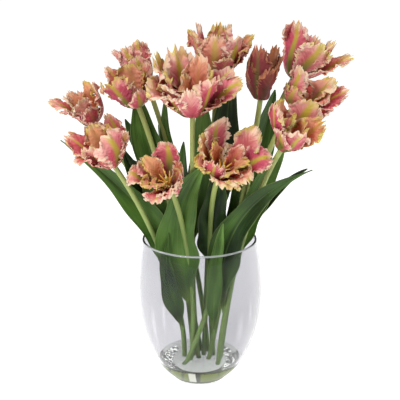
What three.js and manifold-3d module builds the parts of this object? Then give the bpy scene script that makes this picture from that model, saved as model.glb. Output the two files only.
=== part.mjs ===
// Twelve frilled parrot tulips in a clear barrel vase, at real size.
// Millimetres, +Z up. The origin is the centre of the vase's flat underside, and -Y is the front.

import * as THREE from 'three';
import { mergeVertices } from 'three/addons/utils/BufferGeometryUtils.js';
import Module from 'manifold-3d';

const wasm = await Module();
wasm.setup();

// Vase
const vaseHeight = 203;
const bellyRadius = 85.4;
const bellyHeight = 127;
const lowerReach = 143;
const upperReach = 182;
const footRadius = 37;
const glassWall = 3;
const glassFloor = 14;
const floorFlat = 38;
const cornerRun = 5;
const cornerLift = 2;
const cornerRise = 9;
const footEdge = 2;
const rimEdge = 1.2;
const rimRound = 0.8;
const wallHeights = [12, 30, 54, 86, 127, 162, 188];
const vaseSides = 30;

// Water
const waterLevel = 26;
const waterGap = 0.3;

// Stems
const stemRadius = 3.5;
const stemSides = 6;
const stemSteps = 8;
const holeGap = 0.8;
const holeSides = 8;
const holeLead = 12;
const footGap = 0.3;

// Leaves
const leafThickness = 1.0;
const leafRows = 7;
const leafColumns = 2;
const leafRootHalfWidth = 2.6;
const leafTipHalfWidth = 0.7;
const leafChannel = 0.28;
const leafSink = 0.45;
const leafWaves = 2.2;
const leafSideTurn = 0.37;
const leafOutline = 0.1;
const leafOutlineWaves = 2.9;
const leafTipForm = 0.65;

// Petals. Inner petals grow from higher on the seat than outer ones.
const petalThickness = 0.9;
const petalRows = 4;
const petalColumns = 2;
const petalRootHalfWidth = 2;
const outerRoot = [4.2, 1.4];
const innerRoot = [2.6, 3.8];
const petalCurl = 0.4;
const petalBelly = 6;
const petalBellyShare = 0.42;
const petalFullness = 1.12;
const petalCupRoot = 1.15;
const petalCupTip = 0.4;
const tipRounding = 0.14;
const sectorShare = 0.6;
const petalOverlap = 9;
const clearRadius = 7;
const frillDepth = 0.1;
const ruffleLeast = 1.5;
const ruffleMost = 4.5;
const receptacleRadius = 6;
const receptacleHeight = 5;
const receptacleSides = 6;
const seatGap = 0.3;

// Neighbouring blooms press on each other: petals flatten towards a plane between them
const pressDepth = 18;
const pressGap = 0.9;
const seatReach = 9;
const pressReach = 24;

// Stamens
const stamenCount = 4;
const stamenSides = 3;
const stamenLength = 15;
const stamenTipRadius = 0.35;
const stamenFootRadius = 1.1;
const stamenFootOut = 1.2;
const stamenFootLift = 0.7;
const pistilSides = 5;
const pistilLength = 13;
const pistilTipRadius = 1.7;
const pistilFootRadius = 2.6;

const leafGreen = 0x3f6b35;
const stamenYellow = 0xe9b23c;

function vector(x, y, z) {
  return new THREE.Vector3(x, y, z);
}

// The same numbers come out on every run
function randomFrom(seed) {
  let state = seed;
  return () => {
    state = (state * 1664525 + 1013904223) % 4294967296;
    return state / 4294967296;
  };
}

function mix(a, b, t) {
  return a + (b - a) * t;
}

// Solids: closed triangle meshes for joining and cutting

function toSolid(geometry) {
  const bare = geometry.clone();
  bare.deleteAttribute('normal');
  bare.deleteAttribute('uv');
  const merged = mergeVertices(bare, 1e-4);
  return new wasm.Manifold(new wasm.Mesh({
    numProp: 3,
    vertProperties: new Float32Array(merged.attributes.position.array),
    triVerts: new Uint32Array(merged.index.array),
  }));
}

// Joins the pieces and keeps only the main body: no sealed hollow, no loose scrap
function fuse(pieces) {
  let whole = pieces[0];
  for (const piece of pieces.slice(1)) {
    whole = whole.add(piece);
  }
  const bodies = whole.decompose();
  bodies.sort((a, b) => b.volume() - a.volume());
  return bodies[0];
}

function toGeometry(solid) {
  const mesh = solid.getMesh();
  const geometry = new THREE.BufferGeometry();
  geometry.setAttribute('position', new THREE.BufferAttribute(mesh.vertProperties, 3));
  geometry.setIndex(new THREE.BufferAttribute(mesh.triVerts, 1));
  geometry.computeVertexNormals();
  return geometry;
}

// A blade is a thin curved sheet. middle(u, v) is its middle surface, u along it from 0 to 1 and
// v across it from -1 to 1. Both faces are split into the same triangles.
function blade(middle, rows, columns, thickness) {
  const step = 0.01;
  const positions = [];
  for (const side of [1, -1]) {
    for (let i = 0; i <= rows; i += 1) {
      for (let j = 0; j <= columns; j += 1) {
        const u = i / rows;
        const v = (2 * j) / columns - 1;
        const along = middle(Math.min(u + step, 1), v).sub(middle(Math.max(u - step, 0), v));
        const across = middle(u, Math.min(v + step, 1)).sub(middle(u, Math.max(v - step, -1)));
        const normal = across.cross(along).normalize();
        const point = middle(u, v).addScaledVector(normal, (side * thickness) / 2);
        positions.push(point.x, point.y, point.z);
      }
    }
  }
  const width = columns + 1;
  const layer = (rows + 1) * width;
  const faces = [];
  for (let i = 0; i < rows; i += 1) {
    for (let j = 0; j < columns; j += 1) {
      const a = i * width + j;
      const b = a + 1;
      const c = a + width;
      const d = c + 1;
      const halves = (i + j) % 2 === 0 ? [[a, b, d], [a, d, c]] : [[a, b, c], [b, d, c]];
      for (const [p, q, r] of halves) {
        faces.push(p, q, r, layer + p, layer + r, layer + q);
      }
    }
  }
  const rim = [];
  for (let j = 0; j < columns; j += 1) rim.push(j);
  for (let i = 0; i < rows; i += 1) rim.push(i * width + columns);
  for (let j = columns; j > 0; j -= 1) rim.push(rows * width + j);
  for (let i = rows; i > 0; i -= 1) rim.push(i * width);
  rim.forEach((a, k) => {
    const b = rim[(k + 1) % rim.length];
    faces.push(b, a, layer + a, b, layer + a, layer + b);
  });
  const geometry = new THREE.BufferGeometry();
  geometry.setAttribute('position', new THREE.Float32BufferAttribute(positions, 3));
  geometry.setIndex(faces);
  return toSolid(geometry);
}

// Vase: a barrel of two half ellipses that meet at the belly

function outerRadius(z) {
  const reach = z < bellyHeight ? lowerReach : upperReach;
  return bellyRadius * Math.sqrt(1 - ((z - bellyHeight) / reach) ** 2);
}

function innerRadius(z) {
  const slope = outerRadius(z + 0.5) - outerRadius(z - 0.5);
  return outerRadius(z) - glassWall * Math.sqrt(1 + slope * slope);
}

function vaseSolid() {
  const points = [[0, 0], [footRadius, 0], [outerRadius(footEdge), footEdge]];
  for (const z of wallHeights) {
    points.push([outerRadius(z), z]);
  }
  points.push([outerRadius(vaseHeight), vaseHeight - rimEdge]);
  points.push([outerRadius(vaseHeight) - rimRound, vaseHeight]);
  points.push([innerRadius(vaseHeight) + rimRound, vaseHeight]);
  points.push([innerRadius(vaseHeight), vaseHeight - rimEdge]);
  for (const z of wallHeights.slice(2).reverse()) {
    points.push([innerRadius(z), z]);
  }
  points.push([innerRadius(glassFloor + cornerRise), glassFloor + cornerRise]);
  points.push([floorFlat + cornerRun, glassFloor + cornerLift]);
  points.push([floorFlat, glassFloor]);
  points.push([0, glassFloor]);
  return upright(points);
}

// Turns a profile of [radius, height] points about the vase's axis
function upright(points) {
  const profile = points.map(([r, z]) => new THREE.Vector2(r, z));
  return toSolid(new THREE.LatheGeometry(profile, vaseSides).rotateX(Math.PI / 2));
}

function waterSolid(stemCurves) {
  const bottom = glassFloor + waterGap;
  const points = [
    [0, bottom],
    [floorFlat - waterGap, bottom],
    [floorFlat + cornerRun - waterGap, bottom + cornerLift],
    [innerRadius(glassFloor + cornerRise) - 2 * waterGap, glassFloor + cornerRise],
    [innerRadius(waterLevel) - 3 * waterGap, waterLevel],
    [0, waterLevel],
  ];
  let water = upright(points);
  for (const curve of stemCurves) {
    water = water.subtract(stemHole(curve));
  }
  return water;
}

// Stems: one soft bend from the foot to the bloom. The lower edge of the slanted foot stands on
// the glass floor.

function stemCurve(stem) {
  const low = vector(...stem.low);
  const foot = vector(stem.foot[0], stem.foot[1], glassFloor);
  const lead = low.clone().sub(foot).normalize();
  foot.z += footGap + stemRadius * Math.hypot(lead.x, lead.y);
  const top = vector(...stem.base);
  const high = top.clone().addScaledVector(vector(...stem.axis).normalize(), -stem.neck);
  return new THREE.CubicBezierCurve3(foot, low, high, top);
}

function tube(curve, radius, steps, sides) {
  const section = new THREE.Shape();
  for (let i = 0; i < sides; i += 1) {
    const angle = (2 * Math.PI * i) / sides;
    const x = radius * Math.cos(angle);
    const y = radius * Math.sin(angle);
    if (i === 0) section.moveTo(x, y);
    else section.lineTo(x, y);
  }
  section.closePath();
  const options = { steps, extrudePath: curve, bevelEnabled: false, curveSegments: 1 };
  return toSolid(new THREE.ExtrudeGeometry(section, options));
}

// The plain hole in the water that a stem stands in, straight along the stem's first step
function stemHole(curve) {
  const foot = curve.getPoint(0);
  const end = curve.getPointAt(1 / stemSteps);
  const lead = end.clone().sub(foot).normalize();
  const start = foot.addScaledVector(lead, -holeLead);
  return tube(new THREE.LineCurve3(start, end), stemRadius + holeGap, 1, holeSides);
}

// A leaf starts inside its stem's side, runs along it and bends to its tip. Its upper side looks
// towards face. Each side of its midrib has waves and an uneven outline of its own.
function leafSolid(leaf, curve) {
  const onStem = curve.getPoint(leaf.at);
  const lead = curve.getTangent(leaf.at);
  const bend = vector(...leaf.bend);
  const side = bend.clone().sub(onStem);
  side.addScaledVector(lead, -side.dot(lead)).normalize();
  const root = onStem.addScaledVector(side, stemRadius * leafSink);
  const spine = new THREE.CubicBezierCurve3(root, vector(...leaf.low), bend, vector(...leaf.tip));
  const face = vector(...leaf.face).normalize();
  const tipForm = leaf.tipForm ?? leafTipForm;
  const middle = (u, v) => {
    const tangent = spine.getTangent(u);
    const across = tangent.clone().cross(face).normalize();
    const normal = across.clone().cross(tangent).normalize();
    const size = Math.abs(v);
    const turn = leaf.phase + (v > 0 ? leafSideTurn : 0);
    const swell = Math.max(0, Math.sin(Math.PI * u ** 0.8)) ** tipForm;
    const outline = Math.sin(2 * Math.PI * (leafOutlineWaves * u + turn + 0.4));
    const rest = mix(leafRootHalfWidth, leafTipHalfWidth, u);
    const half = Math.max(rest, (leaf.width / 2) * swell * (1 + leafOutline * size * outline));
    const wave = leaf.wave * Math.sin(2 * Math.PI * (leafWaves * u + turn)) * size ** 1.4;
    const rise = half * leafChannel * v * v + wave * Math.sqrt(u) * Math.min(1, half / 10);
    const twist = THREE.MathUtils.degToRad(leaf.twist) * u;
    const sidewaysBy = half * v * Math.cos(twist) - rise * Math.sin(twist);
    const liftedBy = half * v * Math.sin(twist) + rise * Math.cos(twist);
    const point = spine.getPoint(u).addScaledVector(across, sidewaysBy);
    return point.addScaledVector(normal, liftedBy);
  };
  return blade(middle, leafRows, leafColumns, leafThickness);
}

// Blooms

function bloomFrame(bloom) {
  const axis = vector(...bloom.axis).normalize();
  const side = vector(0, 1, 0).cross(axis).normalize();
  const back = axis.clone().cross(side);
  const base = vector(...bloom.base);
  const centre = base.clone().addScaledVector(axis, bloom.height * 0.55);
  return { axis, side, back, base, centre };
}

// Moves a point that comes too near a neighbouring bloom back towards its own side. The seat of
// the petals stays where it is.
function press(point, walls, frame) {
  const free = THREE.MathUtils.smoothstep(point.distanceTo(frame.base), seatReach, pressReach);
  for (const wall of walls) {
    const reach = point.clone().sub(frame.centre).dot(wall.direction);
    const start = wall.distance - pressDepth;
    if (reach > start) {
      const pressed = start + pressDepth * (1 - Math.exp(-(reach - start) / pressDepth));
      point.addScaledVector(wall.direction, free * (pressed - reach));
    }
  }
  return point;
}

// A petal rises from the seat, bellies outward and ends at its tip, where it leans outward by lean
// degrees. roll turns its blade on the way. It is cupped round the bloom's axis, narrow at its root,
// widest past its middle and rounded at its tip, and its edge is frilled and ruffled.
function petalSolid(petal, frame, walls, random) {
  const outward = vector(...petal.tip).sub(frame.base);
  const rise = outward.dot(frame.axis);
  outward.addScaledVector(frame.axis, -rise);
  const reach = outward.length();
  outward.normalize();
  const sideways = frame.axis.clone().cross(outward);
  const [rootOut, rootUp] = petal.root;
  const lean = THREE.MathUtils.degToRad(petal.lean);
  const curl = petalCurl * Math.hypot(reach, rise);
  const belly = petalBelly + petalBellyShare * reach;
  const spine = new THREE.CubicBezierCurve(
    new THREE.Vector2(rootOut, rootUp),
    new THREE.Vector2(rootOut + belly, rootUp + belly * 0.2),
    new THREE.Vector2(reach - curl * Math.sin(lean), rise - curl * Math.cos(lean)),
    new THREE.Vector2(reach, rise),
  );
  const ruffleSize = mix(ruffleLeast, ruffleMost, random());
  const phase = random();
  const middle = (u, v) => {
    const size = Math.abs(v);
    const length = u * (1 - tipRounding * size ** 2.4 * THREE.MathUtils.smoothstep(u, 0.4, 1));
    const spot = spine.getPoint(length);
    const tangent = spine.getTangent(length);
    const swell = Math.sin(Math.PI * (0.03 + 0.87 * u) ** 1.35) ** 0.55;
    const cup = mix(petalCupRoot, petalCupTip, u);
    const sector = spot.x * sectorShare * cup;
    const room = sector / (Math.sin(cup) + sectorShare * (1 - Math.cos(cup)));
    const full = (petal.width / 2) * petalFullness * swell;
    const frill = 1 + frillDepth * Math.cos(Math.PI * petalRows * u) * size;
    const free = Math.min(full, Math.max(room, 2 + spot.y * 0.2));
    const half = Math.max(petalRootHalfWidth, free) * frill;
    const angle = v * cup;
    const across = (half * Math.sin(angle)) / cup;
    const curlIn = (half * (1 - Math.cos(angle))) / cup;
    const inwardBy = Math.min(curlIn, Math.max(0, spot.x - clearRadius) * v * v);
    const ruffle = ruffleSize * u * v * v * Math.sin(2 * Math.PI * (1.5 * u + phase + v));
    const turn = THREE.MathUtils.degToRad(petalOverlap + petal.roll * u);
    const sidewaysBy = across * Math.cos(turn) - (inwardBy + ruffle) * Math.sin(turn);
    const liftedBy = across * Math.sin(turn) + (inwardBy + ruffle) * Math.cos(turn);
    const out = spot.x - tangent.y * liftedBy;
    const up = spot.y + tangent.x * liftedBy;
    const point = frame.base.clone().addScaledVector(outward, out);
    point.addScaledVector(frame.axis, up).addScaledVector(sideways, sidewaysBy);
    return press(point, walls, frame);
  };
  return blade(middle, petalRows, petalColumns, petalThickness);
}

function receptacleSolid(frame) {
  const points = [
    [0, seatGap],
    [stemRadius, seatGap],
    [receptacleRadius, receptacleHeight * 0.55],
    [receptacleRadius * 0.8, receptacleHeight],
    [0, receptacleHeight],
  ];
  return seated(points, frame);
}

// Turns a profile of [radius, height] points about the bloom's axis
function seated(points, frame) {
  const profile = points.map(([r, z]) => new THREE.Vector2(r, z));
  const geometry = new THREE.LatheGeometry(profile, receptacleSides);
  const turn = new THREE.Quaternion().setFromUnitVectors(vector(0, 1, 0), frame.axis);
  geometry.applyQuaternion(turn);
  geometry.translate(frame.base.x, frame.base.y, frame.base.z);
  return toSolid(geometry);
}

function bloomSolid(bloom, walls) {
  const frame = bloomFrame(bloom);
  const random = randomFrom(bloom.seed);
  const pieces = [receptacleSolid(frame)];
  for (const petal of bloom.petals) {
    pieces.push(petalSolid(petal, frame, walls, random));
  }
  return fuse(pieces);
}

// A pistil and a ring of pointed stamens round it, standing on the seat inside the petals
function stamensSolid(bloom) {
  const frame = bloomFrame(bloom);
  const seat = frame.base.clone().addScaledVector(frame.axis, receptacleHeight + seatGap);
  const pistil = new THREE.CylinderGeometry(pistilTipRadius, pistilFootRadius, pistilLength,
    pistilSides);
  const pieces = [standing(pistil, frame.axis, seat)];
  for (let i = 0; i < stamenCount; i += 1) {
    const angle = (2 * Math.PI * (i + 0.5)) / stamenCount;
    const outward = frame.side.clone().multiplyScalar(Math.cos(angle));
    outward.addScaledVector(frame.back, Math.sin(angle));
    const direction = frame.axis.clone().addScaledVector(outward, bloom.spread).normalize();
    const foot = seat.clone().addScaledVector(frame.axis, stamenFootLift);
    foot.addScaledVector(outward, stamenFootOut);
    const stamen = new THREE.CylinderGeometry(stamenTipRadius, stamenFootRadius, stamenLength,
      stamenSides);
    pieces.push(standing(stamen, direction, foot));
  }
  return fuse(pieces);
}

// A cylinder stood on foot and turned from upright to direction
function standing(cylinder, direction, foot) {
  cylinder.translate(0, cylinder.parameters.height / 2, 0);
  cylinder.applyQuaternion(new THREE.Quaternion().setFromUnitVectors(vector(0, 1, 0), direction));
  cylinder.translate(foot.x, foot.y, foot.z);
  return toSolid(cylinder);
}

// Petals, with the place where each one ends, its width, and its lean and roll in degrees
function outerPetal(tip, width, lean, roll = 0) {
  return { tip, width, lean, roll, root: outerRoot };
}

function innerPetal(tip, width, lean, roll = 0) {
  return { tip, width, lean, roll, root: innerRoot };
}

// The twelve flowers. base is where the bloom sits on its stem and axis the way it opens. foot is
// where the stem stands in the vase, low pulls its lower bend, and neck is how far it runs
// straight below the bloom.
const flowers = [
  { name: 'a', foot: [2, 29], low: [-10, 30, 125], neck: 100,
    base: [-139, 30, 354], axis: [-0.6, -0.1, 0.79], reach: 38, height: 54,
    spread: 0.45, seed: 11, color: 0xd9826f, petals: [
      outerPetal([-201, 20, 382], 30, 45, -40), outerPetal([-143, 36, 414], 34, 24),
      innerPetal([-157, 34, 411], 32, 8), outerPetal([-167, 14, 386], 42, 22),
      outerPetal([-146, 10, 383], 34, 10), outerPetal([-172, 60, 392], 40, 25),
    ] },
  { name: 'b', foot: [-22, 10], low: [-16, -2, 110], neck: 90,
    base: [-111, -30, 311], axis: [-0.46, -0.35, 0.82], reach: 44, height: 72,
    spread: 0.45, seed: 12, color: 0xdf7f86, petals: [
      outerPetal([-118, -76, 366], 66, -14), outerPetal([-147, -58, 344], 38, 30),
      outerPetal([-118, -16, 389], 42, 16), innerPetal([-142, -30, 366], 44, 14),
      outerPetal([-175, -30, 355], 34, 40, -25), outerPetal([-97, -32, 358], 34, 30),
      outerPetal([-150, 2, 372], 44, 30),
    ] },
  { name: 'c', foot: [-9, 13], low: [-12, 12, 130], neck: 110,
    base: [-80, 5, 382], axis: [-0.32, -0.15, 0.93], reach: 38, height: 56,
    spread: 0.45, seed: 31, color: 0xd27178, petals: [
      outerPetal([-125, -14, 424], 54, 36), outerPetal([-80, -24, 411], 40, 8),
      innerPetal([-95, 12, 440], 56, 8), outerPetal([-72, 14, 446], 40, 18),
      outerPetal([-121, 14, 437], 40, 26), outerPetal([-98, 40, 432], 44, 25),
    ] },
  { name: 'd', foot: [13, 27], low: [4, 26, 130], neck: 110,
    base: [-72, 48, 408], axis: [-0.36, 0.2, 0.91], reach: 38, height: 52,
    spread: 0.45, seed: 14, color: 0xdb8a80, petals: [
      outerPetal([-101, 36, 457], 42, 20), outerPetal([-87, 42, 464], 40, 0),
      outerPetal([-71, 56, 461], 30, 18), outerPetal([-119, 46, 449], 28, 42),
      outerPetal([-98, 78, 452], 44, 25), outerPetal([-86, 28, 446], 34, 10),
    ] },
  { name: 'e', foot: [-1, 4], low: [-14, 4, 120], neck: 100,
    base: [-9, -30, 376], axis: [0, -0.2, 0.98], reach: 64, height: 66,
    spread: 0.45, seed: 15, color: 0xda7c7c, petals: [
      outerPetal([-37, -66, 418], 60, 46), outerPetal([-74, -44, 424], 56, 72, -34),
      outerPetal([-13, -72, 424], 46, 30), outerPetal([12, -62, 428], 56, 26),
      outerPetal([58, -36, 430], 56, 66, 30), outerPetal([-29, -16, 468], 62, 14),
      innerPetal([-1, -34, 457], 44, 4), outerPetal([-60, -20, 460], 50, 32),
      outerPetal([-12, 18, 444], 50, 45),
    ] },
  { name: 'f', foot: [6, 15], low: [10, 15, 130], neck: 110,
    base: [24, 42, 418], axis: [0.08, 0.1, 0.99], reach: 48, height: 58,
    spread: 0.45, seed: 16, color: 0xd9858a, petals: [
      outerPetal([21, 14, 476], 52, 2), outerPetal([-11, 34, 482], 48, 26),
      outerPetal([1, 60, 487], 40, 12), outerPetal([27, 64, 487], 40, 12),
      outerPetal([52, 24, 474], 54, 14), outerPetal([76, 38, 471], 34, 50, 25),
    ] },
  { name: 'g', foot: [13, 1], low: [30, -12, 130], neck: 100,
    base: [80, 10, 390], axis: [0.12, 0.03, 0.99], reach: 30, height: 66,
    spread: 0.05, seed: 17, color: 0x8f4a4c, petals: [
      outerPetal([62, -4, 450], 38, 8), outerPetal([76, -16, 468], 42, 0),
      outerPetal([116, 0, 446], 46, 18), outerPetal([98, 14, 465], 40, 6),
      outerPetal([92, -22, 440], 40, 0), outerPetal([72, 30, 456], 40, 8),
    ] },
  { name: 'h', foot: [-22, -17], low: [25, -8, 112], neck: 110,
    base: [126, 54, 410], axis: [0.5, 0.2, 0.84], reach: 46, height: 68,
    spread: 0.22, seed: 18, color: 0xda7b86, petals: [
      outerPetal([135, 46, 491], 54, 24), outerPetal([180, 52, 464], 58, 0, 20),
      outerPetal([208, 52, 445], 34, 40, 50), outerPetal([183, 58, 428], 34, 50, 40),
      outerPetal([151, 40, 458], 44, 4), outerPetal([164, 84, 466], 46, 15),
    ] },
  { name: 'i', foot: [29, 1], low: [38, -2, 120], neck: 90,
    base: [122, 6, 380], axis: [0.58, 0.05, 0.81], reach: 46, height: 56,
    spread: 0.45, seed: 19, color: 0xdc8480, petals: [
      outerPetal([134, -6, 438], 48, 24), outerPetal([109, 0, 418], 28, 45),
      outerPetal([175, 8, 423], 52, 0, 25), outerPetal([196, 4, 407], 34, 30, 50),
      outerPetal([178, 10, 377], 34, 75, 40), outerPetal([166, 32, 410], 44, 25),
    ] },
  { name: 'j', foot: [26, -16], low: [30, -18, 110], neck: 90,
    base: [105, -40, 336], axis: [0.42, -0.35, 0.84], reach: 38, height: 62,
    spread: 0.45, seed: 20, color: 0xe08a80, petals: [
      outerPetal([92, -84, 406], 46, 4, 20), outerPetal([139, -78, 365], 56, 8),
      outerPetal([150, -36, 409], 58, 8), innerPetal([109, -40, 405], 38, 14),
      outerPetal([161, -48, 375], 46, 40, 25), outerPetal([112, -78, 364], 44, 4),
      outerPetal([146, -16, 384], 42, 40),
    ] },
  { name: 'k', foot: [20, 14], low: [14, 18, 110], neck: 70,
    base: [26, -45, 304], axis: [0.28, -0.57, 0.77], reach: 58, height: 52,
    spread: 0.5, seed: 21, color: 0xe28e70, petals: [
      outerPetal([33, -28, 381], 42, 30), outerPetal([80, -42, 368], 38, 50),
      outerPetal([94, -56, 333], 42, 76), outerPetal([3, -46, 363], 44, 46),
      outerPetal([20, -92, 330], 38, 14), outerPetal([60, -92, 304], 46, 96),
      outerPetal([36, -98, 300], 46, 98),
    ] },
  { name: 'l', foot: [-13, -2], low: [0, -8, 105], neck: 80,
    base: [-38, -50, 289], axis: [-0.26, -0.52, 0.81], reach: 48, height: 50,
    spread: 0.45, seed: 22, color: 0xd98062, petals: [
      outerPetal([-43, -34, 350], 48, 30), outerPetal([-97, -56, 315], 40, 62, -15),
      innerPetal([-63, -52, 335], 44, 22), outerPetal([-74, -76, 299], 34, 72),
      outerPetal([-57, -92, 280], 48, 92), outerPetal([-15, -80, 303], 40, 56),
      outerPetal([-12, -50, 323], 36, 60),
    ] },
];

// Leaves. at is how far up its stem a leaf grows, low and bend pull its curve, and face is the way
// its upper side looks. twist turns its tip, in degrees, and a low tipForm gives a rounder tip.
const leaves = [
  { on: 'b', at: 0.3, low: [-30, 2, 204], bend: [-86, 4, 262], tip: [-184, 2, 338],
    face: [-0.3, -1, 0.3], width: 36, wave: 2.5, phase: 0.1, twist: -15 },
  { on: 'b', at: 0.2, low: [-34, -16, 100], bend: [-60, -27, 152], tip: [-41, -20, 216],
    face: [0.2, -1, 0.1], width: 25, wave: 2.5, phase: 0.6, twist: 10 },
  { on: 'a', at: 0.4, low: [-44, 24, 205], bend: [-80, 25, 262], tip: [-104, 22, 322],
    face: [0, -1, 0.3], width: 36, wave: 3, phase: 0.3, twist: -20 },
  { on: 'c', at: 0.4, low: [-34, 12, 225], bend: [-66, 8, 300], tip: [-83, 28, 387],
    face: [0.1, -1, 0.2], width: 46, wave: 3, phase: 0.5, twist: 12 },
  { on: 'd', at: 0.45, low: [-36, 40, 240], bend: [-76, 44, 300], tip: [-101, 42, 358],
    face: [0, -1, 0.2], width: 30, wave: 2.5, phase: 0.2, twist: -10 },
  { on: 'd', at: 0.55, low: [-34, 34, 270], bend: [-52, 36, 330], tip: [-46, 38, 388],
    face: [0.2, -1, 0], width: 19, wave: 1.5, phase: 0.8, twist: 25 },
  { on: 'l', at: 0.28, low: [-16, -6, 150], bend: [-36, -22, 236], tip: [6, -26, 310],
    face: [0, -1, 0.2], width: 60, wave: 4, phase: 0.4, twist: 14 },
  { on: 'g', at: 0.14, low: [16, -23, 110], bend: [18, -46, 190], tip: [31, -48, 238],
    face: [0.1, -1, 0.2], width: 21, wave: 1.2, phase: 0.7, twist: -10 },
  { on: 'k', at: 0.46, low: [18, 0, 200], bend: [24, -10, 244], tip: [22, -14, 306],
    face: [0, -1, 0.2], width: 42, wave: 4.5, phase: 0.15, twist: -12 },
  { on: 'j', at: 0.26, low: [24, -22, 160], bend: [26, -40, 262], tip: [142, -72, 317],
    face: [-0.5, -1, 0.5], width: 44, wave: 5, phase: 0.45, twist: -18, tipForm: 1.15 },
  { on: 'j', at: 0.45, low: [46, -2, 215], bend: [82, -2, 262], tip: [112, -6, 332],
    face: [0, -1, 0.2], width: 36, wave: 3, phase: 0.65, twist: 10 },
  { on: 'h', at: 0.42, low: [57, 15, 232], bend: [78, 30, 305], tip: [101, 32, 400],
    face: [0, -1, 0.1], width: 44, wave: 3.5, phase: 0.35, twist: -12 },
  { on: 'f', at: 0.45, low: [22, 22, 240], bend: [37, 25, 320], tip: [40, 26, 414],
    face: [0, -1, 0.1], width: 42, wave: 3, phase: 0.55, twist: 10, tipForm: 0.4 },
  { on: 'e', at: 0.5, low: [-4, 8, 240], bend: [8, 6, 310], tip: [4, 12, 396],
    face: [0, -1, 0.1], width: 34, wave: 3, phase: 0.25, twist: -10, tipForm: 0.45 },
  { on: 'e', at: 0.4, low: [-16, 8, 200], bend: [-28, 6, 280], tip: [-21, 2, 336],
    face: [0, -1, 0.1], width: 24, wave: 2, phase: 0.75, twist: 15 },
  { on: 'd', at: 0.35, low: [-12, 46, 205], bend: [-36, 62, 280], tip: [-58, 88, 340],
    face: [0, 1, 0.4], width: 38, wave: 3, phase: 0.9, twist: 15 },
  { on: 'f', at: 0.35, low: [25, 38, 195], bend: [18, 62, 280], tip: [34, 98, 334],
    face: [0, 1, 0.4], width: 40, wave: 3, phase: 0.5, twist: -15 },
  { on: 'h', at: 0.45, low: [50, 36, 222], bend: [78, 58, 290], tip: [110, 88, 346],
    face: [0.3, 1, 0.4], width: 36, wave: 3, phase: 0.05, twist: 15 },
  { on: 'i', at: 0.38, low: [61, 6, 205], bend: [84, 18, 258], tip: [148, 34, 290],
    face: [-0.7, -0.3, 0.6], width: 28, wave: 2.5, phase: 0.85, twist: -15 },
  { on: 'a', at: 0.42, low: [-38, 32, 215], bend: [-60, 50, 268], tip: [-118, 74, 304],
    face: [-0.2, 1, 0.6], width: 34, wave: 2.5, phase: 0.6, twist: 15 },
];

// The planes between neighbouring blooms, seen from one of them
function wallsOf(flower) {
  const own = bloomFrame(flower);
  const walls = [];
  for (const other of flowers) {
    if (other === flower) continue;
    const offset = bloomFrame(other).centre.sub(own.centre);
    const gap = offset.length();
    const share = flower.reach / (flower.reach + other.reach);
    walls.push({ direction: offset.normalize(), distance: gap * share - pressGap });
  }
  return walls;
}

function addPiece(group, name, solid, material) {
  const mesh = new THREE.Mesh(toGeometry(solid), material);
  mesh.name = name;
  group.add(mesh);
}

function matt(color, roughness) {
  return new THREE.MeshStandardMaterial({ color, roughness, metalness: 0 });
}

function clear(color, roughness) {
  return new THREE.MeshStandardMaterial({
    color, roughness, metalness: 0, transparent: true, opacity: 0.35,
  });
}

const tulips = new THREE.Group();
const curves = new Map(flowers.map((flower) => [flower.name, stemCurve(flower)]));
addPiece(tulips, 'vase', vaseSolid(), clear(0xe6e8ee, 0.04));
addPiece(tulips, 'water', waterSolid([...curves.values()]), clear(0xe9eeee, 0.02));
for (const flower of flowers) {
  const curve = curves.get(flower.name);
  const green = [tube(curve, stemRadius, stemSteps, stemSides)];
  for (const leaf of leaves) {
    if (leaf.on === flower.name) green.push(leafSolid(leaf, curve));
  }
  addPiece(tulips, `stem_${flower.name}`, fuse(green), matt(leafGreen, 0.55));
  addPiece(tulips, `bloom_${flower.name}`, bloomSolid(flower, wallsOf(flower)),
    matt(flower.color, 0.7));
  addPiece(tulips, `stamens_${flower.name}`, stamensSolid(flower), matt(stamenYellow, 0.7));
}

export default tulips;
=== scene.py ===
import math
from collections import namedtuple
from functools import partialmethod
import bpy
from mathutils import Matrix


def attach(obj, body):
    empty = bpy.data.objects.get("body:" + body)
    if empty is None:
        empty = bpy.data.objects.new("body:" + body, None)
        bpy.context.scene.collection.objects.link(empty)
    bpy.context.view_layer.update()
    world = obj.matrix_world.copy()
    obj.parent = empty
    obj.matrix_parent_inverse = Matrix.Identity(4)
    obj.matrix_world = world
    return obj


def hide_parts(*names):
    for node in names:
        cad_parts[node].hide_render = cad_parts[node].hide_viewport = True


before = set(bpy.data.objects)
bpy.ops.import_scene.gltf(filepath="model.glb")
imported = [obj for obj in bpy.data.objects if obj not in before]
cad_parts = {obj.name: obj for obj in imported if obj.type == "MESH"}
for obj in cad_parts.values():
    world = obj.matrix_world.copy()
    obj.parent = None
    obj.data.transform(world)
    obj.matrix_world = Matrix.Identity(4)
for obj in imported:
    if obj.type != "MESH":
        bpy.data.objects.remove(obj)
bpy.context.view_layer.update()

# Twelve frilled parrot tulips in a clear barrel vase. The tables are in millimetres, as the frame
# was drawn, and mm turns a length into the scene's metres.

from types import SimpleNamespace

import bpy
import numpy as np
from mathutils import Vector

bpy.ops.object.select_all(action="DESELECT")

mm = 0.001

# Vase and water. The vase follows one ellipse above its belly and one below, and is drawn in next
# to its foot. floor_corner has the radius and height of the rings between its flat floor and its
# wall. The water bites a little into the glass, so that no air shows between them.
vase_height = 203
vase_sides = 96
belly_radius = 85.4
belly_height = 127
lower_reach = 143
upper_reach = 182
foot_radius = 37
foot_draw = 2.5
foot_draw_height = 30
ring_step = 4
lip_steps = 8
glass_wall = 3
glass_floor = 14
floor_corner = [(35, 14), (39.2, 14.5), (42.6, 15.8), (45.5, 18.4)]
corner_top = 23
centre_radius = 2
water_level = 26
water_bite = 0.1
meniscus_rise = 0.5
meniscus_width = 1.2

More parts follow.
